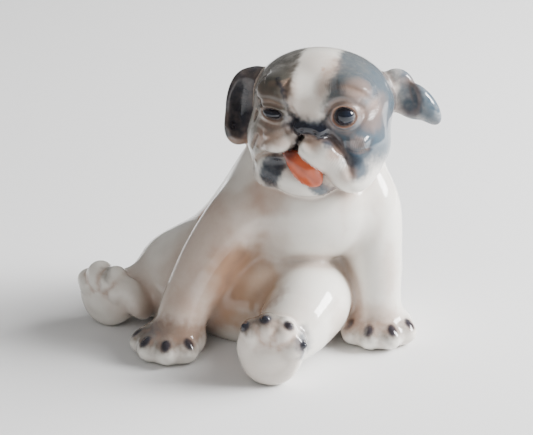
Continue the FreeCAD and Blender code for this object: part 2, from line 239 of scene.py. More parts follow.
def head(p):
    q = seen_by_head(p)
    d = ellipsoid(q, (0.0, 1.5, 3.0), (16.0, 14.5, 11.4))
    d = join(d, ellipsoid(q, (-7.0, -3.0, -5.5), (9.0, 9.5, 9.3)), 3.0)
    d = join(d, ellipsoid(q, (7.6, -3.0, -4.6), (9.2, 9.5, 9.0)), 3.0)
    for side, lift in ((-1, -0.6), (1, 0.8)):
        d = join(d, ellipsoid(q, (6.6 * side, -8.0, 6.8 + lift), (5.4, 4.6, 3.4)), 3.0)
    right_lip = ellipsoid(q, (-6.6, -9.8, -4.6), (4.6, 5.6, 3.5), turned(0, -24, 0))
    left_lip = join(
        ellipsoid(q, (3.4, -9.8, -5.6), (4.4, 5.4, 4.6)),
        ellipsoid(q, (7.9, -8.8, -9.0), (4.2, 5.4, 6.2), turned(0, -42, 0)),
        2.5,
    )
    left_lip = join(left_lip, ellipsoid(q, (0.5, -12.2, -5.8), (4.4, 3.4, 2.1), turned(0, 34, 0)), 1.5)
    chin = join(
        ellipsoid(q, (-2.0, -7.4, -13.3), (7.8, 5.8, 4.5), turned(0, 6, 0)),
        ellipsoid(q, (-8.4, -7.0, -11.8), (4.4, 4.4, 4.9)),
        2.0,
    )
    d = join(d, chin, 1.0)
    d = join(d, ellipsoid(q, (9.6, -6.6, -9.4), (5.4, 6.0, 6.0)), 2.5)
    d = join(d, join(right_lip, left_lip, 0.7), 1.2)
    d = carve(d, ellipsoid(q, (0.0, -13.8, -9.7), (5.6, 4.4, 0.9), turned(0, 38, 0)), 0.4)
    d = join(d, ellipsoid(q, (-8.8, -10.2, 5.6), (4.0, 2.0, 2.4), turned(0, 12, 0)), 3.6)
    near = np.flatnonzero((np.abs(d) < 2.5) & (q[:, 1] < -2.0))
    face = q[near]
    relief = np.zeros(len(near), np.float32)
    for line, width, height in FACE_RIDGES:
        relief -= height * on_face(face, line, width)
    for line, width, depth in FACE_FOLDS:
        relief += depth * on_face(face, line, width)
    front = np.clip(-(q[:, 1] + 2.0) / 4.0, 0.0, 1.0)
    d[near] += front[near] * relief
    for spot, size, deep, lid in (
        (RIGHT_EYE, RIGHT_EYE_SIZE, -12.6, 0.5),
        (LEFT_EYE, LEFT_EYE_SIZE, -12.9, 0.55),
    ):
        rim = ring(q, spot, size)
        d -= front * lid * bump(rim - 0.5, 0.55)
        d += front * 0.18 * bump(rim - 1.5, 0.6)
        socket = ellipsoid(q, (spot[0], deep, spot[1]), (size[0], 1.8, size[1]))
        d = carve(d, socket, 0.3)
        ball = ellipsoid(q, (spot[0], deep + 2.2, spot[1]), (size[0] * 1.05, 2.6, size[1] * 1.05))
        d = join(d, ball, 0.1)
    nose = ellipsoid(q, (0.0, -12.2, 0.0), (3.4, 2.1, 2.0))
    for side in (-1, 1):
        nose = join(nose, ellipsoid(q, (2.1 * side, -12.2, -0.8), (1.5, 1.8, 1.3)), 1.0)
    d = join(d, nose, 1.6)
    for side in (-1, 1):
        d = carve(d, ellipsoid(q, (1.5 * side, -14.4, -0.9), (0.6, 0.6, 0.4)), 0.4)
    return d


# ---------------------------------------------------------------------------- ears
def right_ear(p):
    turn = turned(0, 4, 30)
    d = ellipsoid(p, (-2.4, 2.8, 55.2), (4.8, 2.2, 8.2), turn)
    d = join(d, ellipsoid(p, (-3.2, 1.8, 50.4), (4.2, 2.0, 4.8), turn), 1.5)
    d = join(d, ellipsoid(p, (0.6, 3.6, 61.2), (2.8, 2.2, 2.6), turn), 1.5)
    d = carve(d, ellipsoid(p, (-3.4, -0.2, 55.0), (2.7, 1.9, 6.6), turn), 2.0)
    return d


def left_ear(p):
    d = ellipsoid(p, (32.2, 1.0, 58.9), (4.4, 2.4, 5.2), turned(0, -14, 8))
    d = join(d, ellipsoid(p, (38.2, -0.6, 56.2), (2.7, 2.2, 6.0), turned(0, -38, 0)), 1.2)
    d = join(d, ellipsoid(p, (36.4, 0.4, 55.0), (4.6, 1.9, 2.8), turned(0, 14, 0)), 1.2)
    d = carve(d, ellipsoid(p, (34.4, -2.2, 57.8), (2.2, 2.4, 4.2), turned(0, -8, 0)), 1.8)
    return d


# ---------------------------------------------------------------------------- legs
# A flat forepaw: its middle, half sizes, the way it points, its toes' size and spread.
Paw = namedtuple("Paw", "centre radii heading toe spread")
FOREPAWS = {
    "right_foreleg": Paw((-19.2, -13.4, 3.2), (8.0, 7.6, 4.8), 244.0, 3.2, 116.0),
    "left_foreleg": Paw((28.8, -5.2, 3.4), (8.4, 7.8, 5.0), 271.0, 3.2, 112.0),
}
# A hind foot on its heel: its middle, half height, width and thickness, the way the sole
# faces, its toes' size, how far out they stand, and each toe's angle from the top of the foot.
Foot = namedtuple("Foot", "centre up across deep heading toe out angles")
HIND_FEET = {
    "left_hind_leg": Foot((3.5, -29.0, 8.7), 7.5, 7.5, 4.4, 262.0, 2.9, 5.3, (-44, -6, 34, 76)),
    "right_hind_leg": Foot((-35.4, 2.4, 7.4), 6.6, 7.2, 4.4, 236.0, 2.9, 4.9, (-60, -19, 26, 62)),
}
TOE_REACH = {"left_hind_leg": 3.0, "right_hind_leg": 3.6}  # half a toe's length
# Where a claw sits on its upturned toe, in toe sizes: outwards, and towards the sole's side.
CLAW_SEAT = {"left_hind_leg": (0.82, 0.5), "right_hind_leg": (0.68, -0.6)}
CLAW_LIFT = 0.67  # the same for the toes of a flat paw, both forwards and up
PAW_CLAW, PAW_CLAW_LEAN, FOOT_CLAW = (1.25, 0.8, 0.6), 42, (0.9, 1.0, 0.9)
SOLE = 3.0  # how far the flat of an upturned sole stands off the foot's middle
HEEL_LEVEL = 4.2
TOES = 4


def level_ways(heading):
    """The level way at this heading in degrees, and the way to its left."""
    along = math.radians(heading)
    x, y = math.cos(along), math.sin(along)
    return vector((x, y, 0.0)), vector((-y, x, 0.0))


def flat_toes(name):
    """Each toe of a flat paw: its middle, the way it points, and its claw's middle."""
    paw = FOREPAWS[name]
    base = vector((paw.centre[0], paw.centre[1], paw.toe * 0.95))
    for number in range(TOES):
        degrees = paw.heading + paw.spread * (number / (TOES - 1) - 0.5)
        way = level_ways(degrees)[0]
        middle = base + (paw.radii[0] - paw.toe * 0.72) * way
        yield middle, degrees, middle + paw.toe * (CLAW_LIFT * way + vector((0.0, 0.0, CLAW_LIFT)))


def upright_toes(name):
    """Each toe of an upturned foot: its middle, its claw's middle and its angle."""
    foot = HIND_FEET[name]
    facing, side = level_ways(foot.heading)
    claw_out, claw_side = CLAW_SEAT[name]
    for angle in foot.angles:
        turn = math.radians(angle)
        way = math.sin(turn) * side + vector((0.0, 0.0, math.cos(turn)))
        middle = vector(foot.centre) + foot.out * way
        yield middle, middle + foot.toe * (claw_out * way + claw_side * facing), angle


def claw_places(name):
    """Each claw's middle and the way it points, in degrees."""
    if name in FOREPAWS:
        return [(claw, degrees) for middle, degrees, claw in flat_toes(name)]
    return [(claw, HIND_FEET[name].heading) for middle, claw, angle in upright_toes(name)]


def claws(p, name):
    """The small blunt claws of one leg."""
    size, lean = (PAW_CLAW, PAW_CLAW_LEAN) if name in FOREPAWS else (FOOT_CLAW, 0)
    d = np.full(len(p), FAR, np.float32)
    for place, degrees in claw_places(name):
        d = np.minimum(d, ellipsoid(p, place, size, turned(0, 0, degrees) @ turned(0, lean, 0)))
    return d


def flat_paw(p, d, name):
    """A paw with its toes spread on the ground."""
    paw = FOREPAWS[name]
    size = (paw.toe * 1.25, paw.toe, paw.toe * 0.95)
    d = join(d, ellipsoid(p, paw.centre, paw.radii), 2.0)
    for middle, degrees, claw in flat_toes(name):
        d = join(d, ellipsoid(p, middle, size, turned(0, 0, degrees)), 1.5)
    return join(d, claws(p, name), 0.25)


def upturned_foot(p, d, name):
    """A foot that lies on its heel with the sole outwards and the toes round its top."""
    foot = HIND_FEET[name]
    turn = turned(0, 0, foot.heading - 270)
    facing = level_ways(foot.heading)[0]
    d = join(d, ellipsoid(p, foot.centre, (foot.across, foot.deep, foot.up), turn), 2.0)
    heel = vector((foot.centre[0], foot.centre[1], HEEL_LEVEL)) - facing
    d = join(d, ellipsoid(p, heel, (foot.across * 0.78, foot.deep * 1.1, 4.4), turn), 2.0)
    size = (foot.toe, foot.toe * 1.35, TOE_REACH[name])
    for middle, claw, angle in upright_toes(name):
        d = join(d, ellipsoid(p, middle, size, turn @ turned(0, angle, 0)), 1.0)
    d = carve(d, SOLE - (p - vector(foot.centre)) @ facing, 1.6)
    size = (foot.toe * 0.62, 1.3, foot.toe * 0.72)
    for middle, claw, angle in upright_toes(name):
        pad = middle + facing * (SOLE - 0.9) - vector((0.0, 0.0, 0.4))
        d = join(d, ellipsoid(p, pad, size, turn), 0.7)
    pad = vector(foot.centre) + facing * (SOLE - 1.1) - vector((0.0, 0.0, 1.6))
    d = join(d, ellipsoid(p, pad, (foot.across * 0.5, 1.7, foot.up * 0.4), turn), 0.9)
    return join(d, claws(p, name), 0.25)


def right_foreleg(p):
    d = limb(p, ((2.5, -2.5, 37, 6.5), (-3.5, -6, 30.5, 7.4), (-10, -8.5, 22, 6.7),
                 (-14.8, -10.5, 13.5, 5.9), (-17.4, -13, 6.5, 5.8)))
    return flat_paw(p, d, "right_foreleg")


def left_foreleg(p):
    d = limb(p, ((24, 0.5, 39.5, 6.4), (26.2, -1.5, 31, 7.6), (27.6, -3.8, 20, 6.6),
                 (28.2, -5, 11, 5.9), (28.6, -6, 5.5, 6)))
    return flat_paw(p, d, "left_foreleg")


def left_hind_leg(p):
    d = limb(p, ((14.5, -4, 11.2, 8.6), (12.2, -11, 11.4, 9.7), (9.2, -18.5, 9.7, 8.4),
                 (6, -24.5, 8.2, 6.4), (4.6, -27.5, 7.8, 5.8)))
    return upturned_foot(p, d, "left_hind_leg")


def right_hind_leg(p):
    d = limb(p, ((-16.0, 7.0, 8.2, 7.0), (-23.5, 6.2, 7.6, 6.8), (-30.0, 4.8, 7.2, 5.8),
                 (-33.5, 3.8, 7.2, 5.0)))
    d = join(d, ellipsoid(p, (-28.2, -0.8, 7.8), (3.3, 4.4, 5.6), turned(0, -32, 0)), 0.8)
    return upturned_foot(p, d, "right_hind_leg")


# ----------------------------------------------------------------- tail and tongue
def tail(p):
    centre = vector((4.0, 24.5, 5.4))
    arc = [(centre[0] + 5.0 * math.cos(a), centre[1] + 5.0 * math.sin(a), centre[2], 2.8)
           for a in np.linspace(-0.4, 2.6, 6)]
    return limb(p, arc, 2)


def tongue(p):
    q = seen_by_head(p)
    leaf = ellipsoid(q, (0.0, -12.7, -10.0), (4.7, 1.7, 2.9), turned(0, 38, 0))
    root = limb(q, ((-5.0, -12.4, -6.8, 0.7), (-2.6, -12.7, -7.8, 1.6), (0.4, -12.7, -9.2, 2.0)))
    return join(leaf, root, 2.0)


# Each casting's field, its lowest and highest corner, and how softly it meets the rest.
CASTINGS = {
    "torso": (torso, (-30, -16, -1), (36, 32, 54), 1.0),
    "head": (head, (-4, -21, 34), (36, 18, 71), 0.6),
    "right_ear": (right_ear, (-9, -3, 44), (4, 9, 67), 1.2),
    "left_ear": (left_ear, (27, -5, 48), (44, 5, 67), 1.2),
    "right_foreleg": (right_foreleg, (-30, -24, -1), (10, 6, 46), 3.0),
    "left_foreleg": (left_foreleg, (16, -16, -1), (40, 9, 48), 2.4),
    "right_hind_leg": (right_hind_leg, (-45, -8, -1), (-8, 15, 19), 2.4),
    "left_hind_leg": (left_hind_leg, (-6, -38, -1), (26, 6, 23), 2.4),
    "tail": (tail, (-6, 18, -1), (14, 34, 10), 1.6),
    "tongue": (tongue, (4, -26, 36), (24, -8, 54), 0.15),
}
NAMES = tuple(CASTINGS)
REACH = 4.0  # how far outside its box a casting's field is still worked out


def clay(p):
    """The field of the whole figure and of each casting, at every point."""
    own = np.full((len(NAMES), len(p)), FAR, np.float32)
    whole = None
    for row, (field, low, high, blend) in zip(own, CASTINGS.values()):
        inside = np.all((p > vector(low) - REACH) & (p < vector(high) + REACH), axis=1)
        if inside.any():
            row[inside] = field(p[inside])
        whole = row.copy() if whole is None else join(whole, row, blend)
    return whole, own


def casting(p, name, start=0.1, slope=0.7, overlap=0.5):
    """The field of one casting, which ends a little way under its neighbours' skin."""
    whole, own = clay(p)
    whole = np.maximum(whole, -p[:, 2])
    mine = NAMES.index(name)
    others = np.delete(own, mine, axis=0).min(axis=0)
    past = 0.5 * (own[mine] - others)
    return np.maximum(whole + slope * np.maximum(past - start, 0.0), past - overlap)


CHUNK, SMALL_CHUNK = 60000, 20000  # points worked out at once


def in_chunks(function, points, size=CHUNK):
    parts = [points[i:i + size] for i in range(0, len(points), size)]
    with ThreadPoolExecutor(THREADS) as pool:
        return np.concatenate(list(pool.map(function, parts)))


# --------------------------------------------------------------------- the surface
BLOCK = 2.0  # the coarse pass's spacing


def grid_values(name, step, margin=1.5):
    """The casting's field at every corner of a grid round it, and the grid's low corner."""
    low, high = (np.array(corner) for corner in CASTINGS[name][1:3])
    low, high = low - margin, high + margin
    low[2] = max(low[2], -2.0 * step)
    counts = np.ceil((high - low) / step).astype(int) + 1
    coarse = max(1, round(BLOCK / step))
    axes = [low[i] + step * np.arange(counts[i]) for i in range(3)]
    # a coarse pass finds the blocks that the skin runs through
    small = [axis[::coarse] for axis in axes]
    small = [np.append(axis, axis[-1] + step * coarse) for axis in small]
    mesh = np.stack(np.meshgrid(*small, indexing="ij"), -1).reshape(-1, 3).astype(np.float32)
    rough = in_chunks(lambda p: casting(p, name), mesh).reshape([len(axis) for axis in small])
    close = np.abs(rough) < 2.2 * step * coarse
    wanted = np.zeros(np.array(close.shape) - 1, bool)
    for shift in product((0, 1), repeat=3):
        wanted |= close[tuple(slice(by, size - 1 + by) for by, size in zip(shift, close.shape))]
    pick = np.ix_(*[np.minimum(np.arange(n) // coarse, wanted.shape[i] - 1)
                    for i, n in enumerate(counts)])
    fine = wanted[pick]
    values = rough[np.ix_(*[np.arange(n) // coarse for n in counts])].copy()
    index = np.argwhere(fine)
    points = (low + step * index).astype(np.float32)
    values[fine] = in_chunks(lambda p: casting(p, name), points)
    return values, low


def skin(values, low, step):
    """Surface nets: one corner in each cell that the skin crosses, one face per crossed edge."""
    inside = values < 0
    shape = np.array(values.shape) - 1
    total = np.zeros(shape, np.float32)
    place = np.zeros((*shape, 3), np.float32)
    for axis in range(3):
        others = [i for i in range(3) if i != axis]
        for shift in ((0, 0), (0, 1), (1, 0), (1, 1)):
            first, second = [slice(0, -1)] * 3, [slice(0, -1)] * 3
            second[axis] = slice(1, None)
            for other, by in zip(others, shift):
                span = slice(by, values.shape[other] - 1 + by)
                first[other] = second[other] = span
            a, b = values[tuple(first)], values[tuple(second)]
            crossed = inside[tuple(first)] != inside[tuple(second)]
            t = np.where(crossed, a / np.where(crossed, a - b, 1), 0)
            total += crossed
            place[..., axis] += t
            for other, by in zip(others, shift):
                place[..., other] += crossed * by
    used = total > 0
    number = np.full(shape, -1)
    number[used] = np.arange(used.sum())
    points = low + step * (np.argwhere(used) + place[used] / total[used][:, None])
    faces = []
    for axis in range(3):
        b, c = (axis + 1) % 3, (axis + 2) % 3
        first, second = [slice(1, -1)] * 3, [slice(1, -1)] * 3
        first[axis], second[axis] = slice(0, -1), slice(1, None)
        flips = inside[tuple(first)].astype(int) - inside[tuple(second)].astype(int)
        for way in (1, -1):
            cell = np.argwhere(flips == way)
            cell[:, b] += 1
            cell[:, c] += 1
            corners = []
            for db, dc in ((0, 0), (1, 0), (1, 1), (0, 1)):
                at = cell.copy()
                at[:, b] -= db
                at[:, c] -= dc
                corners.append(number[tuple(at.T)])
            quad = np.stack(corners if way == 1 else corners[::-1], 1)
            faces.append(quad)
    return points.astype(np.float32), np.concatenate(faces)


def slope_of(function, points, step=0.08):
    """How fast a field rises along each axis."""
    out = np.empty_like(points)
    for axis in range(3):
        shift = np.zeros(3, np.float32)
        shift[axis] = step
        out[:, axis] = (function(points + shift) - function(points - shift)) / (2 * step)
    return out


def settle(points, name, rounds=2):
    """Moves the corners onto the skin itself."""
    def once(p):
        value = casting(p, name)
        slope = slope_of(lambda x: casting(x, name), p)
        size = np.maximum(np.einsum("ij,ij->i", slope, slope), 0.2)
        move = -(value / size)[:, None] * slope
        return p + np.clip(move, -0.3, 0.3)
    for _ in range(rounds):
        points = in_chunks(once, points, SMALL_CHUNK)
    return points


def normals_of(points):
    """Unit normals of the whole figure's skin."""
    def once(p):
        slope = slope_of(lambda x: clay(x)[0], p)
        return slope / np.maximum(length(slope), 1e-6)[:, None]
    return in_chunks(once, points, SMALL_CHUNK)


# ---------------------------------------------------------- the underglaze painting and the painted shade
PIGMENTS = ("tan", "olive", "slate", "blush", "rust", "ink")


def soft_step(x):
    t = np.clip(x, 0.0, 1.0)
    return t * t * (3.0 - 2.0 * t)


def patch(outside, soft):
    """One inside an edge and nothing beyond it, across a soft border this wide."""
    return soft_step(0.5 - outside / soft)


def dab(p, centre, radii, soft, turn=None):
    return patch(ellipsoid(p, centre, radii, turn), soft)


def brush(p, points, half_width, soft):
    """A brush stroke along a line; the points have as many numbers as p has columns."""
    return patch(nearest_run(p, vector(points))[0] - half_width, soft)


def mottle(p, size, seed):
    """Smooth uneven variation between -1 and 1, in patches of about this size."""
    u = (p @ turned(31 + seed, 47 + 3 * seed, 12 + 7 * seed)) * (2 * math.pi / size) + seed
    first = np.sin(u[:, 0] + 1.7 * np.sin(0.7 * u[:, 1])) * np.sin(1.1 * u[:, 1] + 1.3 * np.sin(u[:, 2]))
    second = np.sin(2.3 * u[:, 2] + 1.1 * np.sin(1.9 * u[:, 0]))
    return 0.75 * first + 0.25 * second


def wobbled(p, size, amount):
    """Points pushed about unevenly, so that a painted edge isn't drawn with a ruler."""
    push = np.stack([mottle(p, size, seed) for seed in (1, 2, 3)], 1)
    return p + amount * push.astype(np.float32)


def lay(paint, pigment, amount):
    """Adds a layer of one pigment, which never gets past full strength."""
    paint[pigment] = 1.0 - (1.0 - paint[pigment]) * (1.0 - np.clip(amount, 0.0, 1.0))


def lay_dabs(p, paint, dabs, over=1.0):
    """Soft spots: each is a pigment, its amount, the spot's middle, half sizes and border."""
    for pigment, amount, centre, radii, soft in dabs:
        lay(paint, pigment, amount * over * dab(p, centre, radii, soft))


def lay_strokes(p, paint, strokes, over=1.0):
    """Brush strokes: each is a pigment, its amount, the line, half its width and its border."""
    for pigment, amount, points, half_width, soft in strokes:
        lay(paint, pigment, amount * over * brush(p, points, half_width, soft))


HEAD_DABS = (
    # the darker spots of the patch over the right eye
    ("olive", 0.85, (-7.6, -9.4, 10), (2.4, 3, 2.8), 3),
    ("olive", 0.75, (-9.2, -11, 8.8), (3, 3, 2), 2.4),
    ("olive", 0.8, (-6.4, -11, 7.4), (1.8, 3, 2.6), 2),
    ("olive", 0.7, (-11.8, -9.6, 4.6), (1.6, 4, 2.6), 2.4),
    ("olive", 0.5, (-6.6, -11, 3.2), (1.2, 4, 1.4), 1.6),
    # warm spots over both patches and beside the blaze; the first is painted shade on the top of the head
    ("blush", 0.25, (-1, -6, 13), (4, 5, 3), 5),
    ("blush", 0.36, (9.4, -10.5, 9.4), (3.4, 4, 2.2), 2.6),
    ("blush", 0.3, (12.8, -8, 3), (2.4, 4, 3.4), 2.6),
    ("blush", 0.2, (14, -6, 6), (1.8, 4, 2.4), 2.6),
    ("blush", 0.36, (7.6, -11.5, 5), (4.2, 4, 3.2), 2.6),
    ("blush", 0.55, (1.6, -10.5, 9.4), (1.3, 4, 3.4), 2.6),
    ("blush", 0.45, (2.4, -6, 12.6), (1.2, 4, 2.6), 2.6),
    ("blush", 0.5, (-4.6, -11.5, 6), (1, 4, 3), 2.6),
    ("blush", 0.3, (-1, -12, 4), (3, 3, 2.6), 2.6),
    ("blush", 0.25, (-9, -11.5, -1.6), (4, 4, 2), 2.6),
    ("blush", 0.15, (-12.4, -9, 4), (1.8, 4, 3), 2.6),
    # a speck on the forehead
    ("rust", 0.5, (0.7, -8.6, 12), (0.35, 3, 0.3), 0.7),
)
FACE_DABS = (  # on the front of the face only
    ("blush", 0.12, (-9.4, -11, 5.2), (3.2, 4, 2.6), 2.6),
    ("olive", 0.8, (-9.2, -11, 4.4), (4.6, 4, 4.8), 3),
    ("olive", 0.5, (-9, -12, -2.2), (4.6, 4, 2.6), 3),
    ("olive", 0.65, (-9.8, -10, -5), (4, 5, 4.4), 3.6),
    ("olive", 0.7, (-10.4, -10, 6.2), (3, 4, 2.2), 2.6),
    ("olive", 0.4, (-8.6, -12, -2.6), (3.4, 4, 1.2), 2),
    ("blush", 0.35, (10.6, -10.5, -2.2), (1.8, 4, 1.4), 1.6),
    # lips
    ("blush", 0.7, (1.4, -13, -3.4), (2.2, 3, 1.7), 2.4),
    ("blush", 0.6, (6.2, -12.5, -5), (2, 4, 1.7), 2.4),
    ("blush", 0.5, (9.4, -12.5, -9.6), (1.9, 4, 2), 2.4),
    ("blush", 0.6, (-6.8, -13.5, -4), (3.2, 4, 1.6), 2.4),
    ("blush", 0.5, (-10.4, -11.5, -5), (2.4, 4, 2.4), 2.4),
)
FACE_STROKES = (  # on the front of the face only; the lines are x, z
    ("olive", 0.45, ((5, 6.9), (7.6, 7.5), (10.2, 6.4)), 0.5, 1.3),
    # the nose, the dark lines at its sides and the lines down to and along the mouth
    ("ink", 0.97, ((-3, -0.1), (-1, -0.2), (1.6, -0.3), (2.9, -0.5)), 1.7, 1.4),
    ("slate", 0.8, ((-4, 0.2), (3.4, -0.4)), 2.1, 1.6),
    ("ink", 0.9, ((-2.2, -0.9), (-2.3, -3.4), (-2.9, -5.2), (-4.2, -6.3)), 0.65, 1.1),
    ("ink", 0.85, ((-8.4, 9.3), (-6.9, 7.6), (-6, 5.3), (-5.1, 2.8), (-3.2, 0.8)), 0.3, 1.1),
    ("ink", 0.75, ((2, 0.8), (3, 1.4), (3.6, 2.8), (4.6, 4.4)), 0.16, 0.8),
    ("ink", 0.6, ((-6.4, -0.4), (-4.6, 0), (-3, 0.2)), 0.3, 1),
    ("olive", 0.7, ((-11.2, -1.2), (-8.6, -1.6), (-6, -0.9)), 0.3, 1.6),
    ("ink", 0.75, ((-3.8, -6.4), (-5.4, -7), (-7.6, -7.6)), 0.12, 0.9),
    ("ink", 0.8, ((-2.6, -6), (0.4, -7.4), (2.6, -9.6), (3.8, -11.6)), 0.1, 0.8),
    # the core of the band across the left cheek, and its branch
    ("ink", 0.62, ((2.8, -0.9), (4.8, -2), (7.6, -3.5), (10.8, -6.6)), 1.1, 1.8),
    ("slate", 0.6, ((10.8, 0.8), (13.2, 0), (14.3, -2.4), (12.8, -5)), 0.6, 1.8),
    # the edge of the chin and the creases of the right cheek
    ("ink", 0.7, ((3, -13.6), (4.6, -14.6), (5.2, -16)), 0.1, 0.6),
    ("ink", 0.95, ((-13.3, 0.9), (-13.5, -1.9)), 0.12, 0.5),
    ("ink", 0.95, ((-11.9, -4.2), (-13.2, -7.6)), 0.1, 0.5),
)
JAW = ((2.8, -13.9), (4.8, -15.2), (7.4, -16))
JAW_STROKES = (("slate", 0.95, JAW, 1.6, 1.2), ("olive", 0.6, JAW, 1.4, 1.4))
CHEEK_BAND = (  # line across the left cheek, half width, border
    (((2.6, -0.8), (4.6, -1.8), (7, -3)), 1.6, 1.5),
    (((7, -3), (9, -4.4), (10.8, -6.4), (11.7, -8.6)), 2.1, 2),
)
CHIN_TILT = turned(0, 22, 0)
CHIN_SPOTS = (  # middle, half sizes, amount
    ((-7.9, -11, -11.6), (2.7, 4, 3.8), 0.9), ((-6.4, -11.5, -9.2), (2, 4, 1.3), 0.7),
    ((-8.2, -11, -14.6), (2.2, 4, 1.8), 0.6),
)


def paint_face(q, paint):
    front = patch(q[:, 1] + 4.0, 4.0)
    q = wobbled(q, 2.6, 0.28)
    face = q[:, ::2]
    x, y, z = q[:, 0], q[:, 1], q[:, 2]
    wavy = 0.5 * mottle(q, 7.0, 4)
    high = patch(2.6 - z - 0.12 * np.maximum(y, 0.0), 3.5)
    # the dark patch over the right eye, which runs back to that ear
    right = patch(x + 5.5 + wavy, 1.5) * high
    lay(paint, "olive", right * (0.86 + 0.08 * mottle(q, 6.0, 5)) * (1.0 - 0.3 * patch(x + 13.5, 3.0)))
    # the grey-blue patch over the left eye, paler towards the cheek
    left = patch(2.9 - x + wavy, 2.6) * patch(-5.5 - z - 0.3 * (x - 12.0), 6.0)
    fade = 1.0 - 0.12 * patch(11.5 - x, 6.0) - 0.2 * patch(z + 1.0, 4.0) * patch(x - 9.0, 4.0)
    brow = patch(4.0 - z, 5.0)
    lay(paint, "slate", left * (0.76 + 0.08 * mottle(q, 5.0, 6)) * fade * (1.0 - 0.35 * brow))
    lay(paint, "olive", 0.85 * left * fade)
    lay(paint, "slate", 0.5 * patch(10.0 - x, 4.0) * patch(-8.0 - z, 6.0) * patch(y - 10.0, 6.0))
    lay(paint, "olive", 0.4 * patch(10.5 - x, 4.0) * patch(-4.0 - z, 6.0) * patch(y - 10.0, 6.0))
    lay(paint, "olive", 0.3 * patch(4.5 - x, 3.0) * patch(-1.0 - z, 5.0) * patch(y - 12.0, 6.0))
    lay(paint, "olive", 0.45 * patch(x + 11.8, 3.0) * patch(z - 3.0, 4.0))
    lay_dabs(q, paint, HEAD_DABS)
    lay_dabs(q, paint, FACE_DABS, front)
    lay_strokes(face, paint, FACE_STROKES, front)
    lay_strokes(face, paint, JAW_STROKES)
    bands = [brush(face, *band) for band in CHEEK_BAND]
    lay(paint, "slate", front * np.maximum(*bands))
    for centre, radii, amount in CHIN_SPOTS:
        lay(paint, "slate", amount * front * dab(q, centre, radii, 1.6, CHIN_TILT))
        lay(paint, "ink", 0.85 * amount * front * dab(q, centre, radii, 2.2, CHIN_TILT))


LID_STROKES = (
    ("olive", 0.75, ((5, 1.2), (7.4, 0), (10.4, 0.7)), 0.22, 0.8),
    ("olive", 0.6, ((4.6, 4.6), (7.2, 6.3), (9.4, 5.6)), 0.1, 0.7),
)


def paint_eyes(q, paint):
    front = patch(q[:, 1] + 6.0, 2.0)
    for spot, size, edge, shade in (
        (RIGHT_EYE, RIGHT_EYE_SIZE, "olive", 0.85), (LEFT_EYE, LEFT_EYE_SIZE, "rust", 0.5),
    ):
        rim = ring(q, spot, size)
        lay(paint, edge, shade * front * patch(np.abs(rim - 0.3) - 0.15, 0.5))
        lay(paint, "olive", 0.6 * front * patch(np.abs(rim - 0.2) - 0.2, 0.9))
        lay(paint, "ink", 0.7 * front * patch(np.abs(rim) - 0.15, 0.5))
        ball = front * patch(rim + 0.05, 0.35)
        for pigment in PIGMENTS:
            paint[pigment] = paint[pigment] * (1.0 - ball)
        lay(paint, "ink", 0.96 * ball)
        lay(paint, "slate", ball)
    lay_strokes(q[:, ::2], paint, LID_STROKES, front)


def paint_head(p, paint):
    q = seen_by_head(p)
    paint_face(q, paint)
    paint_eyes(q, paint)


def paint_right_ear(p, paint):
    w = wobbled(p, 5.0, 0.8)
    inner = dab(w, (-3.2, 0.5, 55.0), (3.0, 5.0, 6.6), 2.5, turned(0, 4, 30))
    low = patch(w[:, 2] - 47.8, 2.4)
    lay(paint, "olive", 0.94 - 0.35 * low)
    lay(paint, "ink", (0.65 + 0.2 * mottle(w, 7.0, 3)) * (1.0 - low) + 0.15 * inner)
    lay(paint, "blush", 0.5 * low)
    lay(paint, "slate", 0.4 + 0.3 * mottle(w, 9.0, 8))


def paint_left_ear(p, paint):
    w = wobbled(p, 4.0, 0.5)
    fold = brush(w, ((33.0, -1.0, 62.5), (36.0, -1.5, 59.0), (38.6, -2.0, 55.0)), 1.2, 3.0)
    root = patch(w[:, 0] - 33.0, 3.0)
    lay(paint, "slate", 0.96 - 0.45 * root + 0.08 * mottle(w, 4.0, 2))
    lay(paint, "olive", 0.25 * fold + 0.25 * root)
    lay(paint, "ink", 0.3 * fold)
    lay(paint, "blush", 0.25 * brush(w, ((31.0, -2.0, 62.0), (34.0, -2.0, 62.0)), 0.8, 2.5))


TORSO_DABS = (
    # the tan of the belly, and two patches on the right flank and the back
    ("tan", 0.95, (-6, -13, 17), (4.4, 7, 10), 6),
    ("tan", 0.9, (-4.4, -13, 22.6), (5, 5, 3.8), 4),
    ("tan", 0.72, (-0.5, -12, 17), (6.5, 8, 8), 5),
    ("tan", 0.4, (-5, -13, 9), (5, 6, 5), 6),
    ("tan", 0.9, (-12.4, 6.2, 27.8), (2, 5, 3.4), 1.8),
    ("tan", 0.7, (-10, 20, 20), (6, 7, 8), 4),
    ("rust", 0.3, (-12.4, 6.2, 27.8), (1.6, 4, 2.6), 1.8),
    # warm shadows of the chest, the shoulders and the right side
    ("blush", 0.4, (-0.5, -11, 37), (3, 5, 3), 4),
    ("blush", 0.36, (0, -9, 31), (8, 9, 10), 9),
    ("blush", 0.5, (4, -9.5, 38.5), (4.6, 6, 5), 4),
    ("blush", 0.6, (-12, -8, 20), (11, 14, 20), 10),
    ("blush", 0.15, (28, -6, 28), (1.2, 5, 9), 2.2),
    ("blush", 0.16, (20, -12, 36), (1.2, 5, 8), 2.5),
    ("blush", 0.3, (-24, 6, 8), (12, 12, 9), 8),
    # the grey patches of the left flank and the upper back
    ("slate", 0.85, (32.6, 9.5, 19), (3.6, 6, 7.5), 2),
    ("slate", 0.75, (17, 21, 34), (8, 8, 9), 4),
)
# painted shade along the torso's creases and hollows
TORSO_SHADE_STROKES = (
    # painted shade along the inner edge of the right foreleg
    ("olive", 0.7, ((-7, -12, 18), (-5.4, -12.5, 22), (-2.4, -13, 24.8)), 1.4, 3.6),
    # painted shade along the chest's lower crease
    ("blush", 0.5, ((-5, -12, 30), (-1, -13, 28.8), (3, -13, 28.4)), 0.8, 3.4),
    # painted shade in the hollow between the belly and the thigh
    ("olive", 0.35, ((1.5, -14.5, 10), (5, -14, 13.2), (8, -14, 15)), 1, 4),
)


